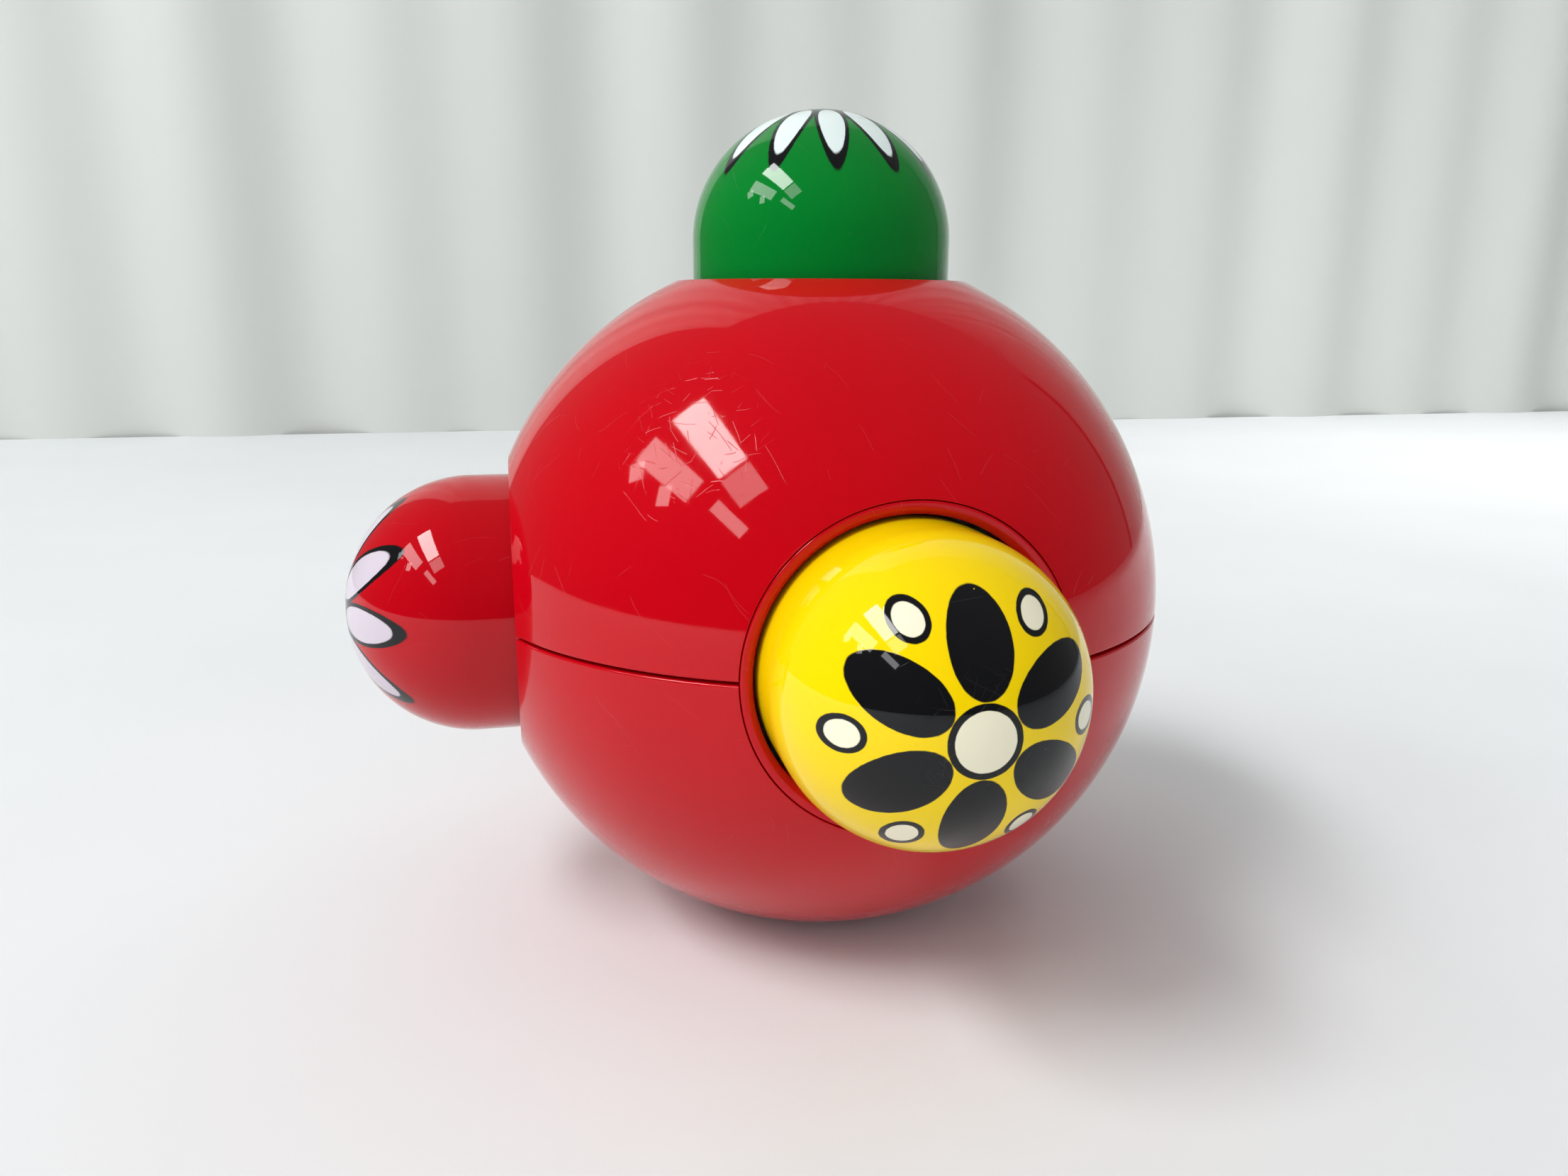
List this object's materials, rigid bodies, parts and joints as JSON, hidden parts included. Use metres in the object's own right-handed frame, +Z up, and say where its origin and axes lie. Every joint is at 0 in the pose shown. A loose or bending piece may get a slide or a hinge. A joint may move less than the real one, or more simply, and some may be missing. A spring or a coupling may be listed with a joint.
{
  "type": "rattle ball",
  "caption": "Hollow glossy plastic rattle ball on a flat foot, with sprung domed heads that push in through flush collars and a closed chamber of loose pellets below.",
  "frame": {"origin": "Centre of the flat foot under the ball.", "axes": "+Z up through the green head, -Y forward through the yellow head, -X to the side through the red head."},
  "size_m": [0.1188, 0.1188, 0.1162],
  "materials": {
    "shell": "gloss moulded red",
    "collar": "gloss moulded red",
    "green_head": "gloss moulded green with a printed pattern",
    "yellow_head": "gloss moulded yellow with a printed pattern",
    "red_head": "gloss moulded red with a printed pattern",
    "inner_plastic": "plain natural moulding",
    "spring_wire": "drawn spring wire",
    "pellet": "plain moulded bead"
  },
  "bodies": {
    "ball": {"upper_shell": "shell", "lower_shell": "shell", "top_collar": "collar", "front_collar": "collar", "side_collar": "collar", "spring_hub": "inner_plastic", "rattle_deck": "inner_plastic", "top_spring": "spring_wire", "front_spring": "spring_wire", "side_spring": "spring_wire"},
    "green_slider": {"green_head": "green_head", "top_plunger": "inner_plastic"},
    "yellow_slider": {"yellow_head": "yellow_head", "front_plunger": "inner_plastic"},
    "red_slider": {"red_head": "red_head", "side_plunger": "inner_plastic"},
    "loose_1": {"pellet_1": "pellet"},
    "loose_2": {"pellet_2": "pellet"},
    "loose_3": {"pellet_3": "pellet"},
    "loose_4": {"pellet_4": "pellet"},
    "loose_5": {"pellet_5": "pellet"},
    "loose_6": {"pellet_6": "pellet"},
    "loose_7": {"pellet_7": "pellet"}
  },
  "joints": [
    {"name": "green_push", "type": "slide", "parent": "ball", "child": "green_slider", "axis": [0, 0, -1], "range_m": [0, 0.008], "stiffness_N_per_m": 300, "springref_m": -0.004, "deforming": ["top_spring"]},
    {"name": "yellow_push", "type": "slide", "parent": "ball", "child": "yellow_slider", "axis": [0, 1, 0], "range_m": [0, 0.008], "stiffness_N_per_m": 300, "springref_m": -0.004, "deforming": ["front_spring"]},
    {"name": "red_push", "type": "slide", "parent": "ball", "child": "red_slider", "axis": [1, 0, 0], "range_m": [0, 0.008], "stiffness_N_per_m": 300, "springref_m": -0.004, "deforming": ["side_spring"]},
    {"name": "pellet_1_hop", "type": "slide", "parent": "ball", "child": "loose_1", "axis": [0, 0, 1], "range_m": [0, 0.009]},
    {"name": "pellet_2_hop", "type": "slide", "parent": "ball", "child": "loose_2", "axis": [0, 0, 1], "range_m": [0, 0.009]},
    {"name": "pellet_3_hop", "type": "slide", "parent": "ball", "child": "loose_3", "axis": [0, 0, 1], "range_m": [0, 0.009]},
    {"name": "pellet_4_hop", "type": "slide", "parent": "ball", "child": "loose_4", "axis": [0, 0, 1], "range_m": [0, 0.009]},
    {"name": "pellet_5_hop", "type": "slide", "parent": "ball", "child": "loose_5", "axis": [0, 0, 1], "range_m": [0, 0.009]},
    {"name": "pellet_6_hop", "type": "slide", "parent": "ball", "child": "loose_6", "axis": [0, 0, 1], "range_m": [0, 0.009]},
    {"name": "pellet_7_hop", "type": "slide", "parent": "ball", "child": "loose_7", "axis": [0, 0, 1], "range_m": [0, 0.009]}
  ]
}
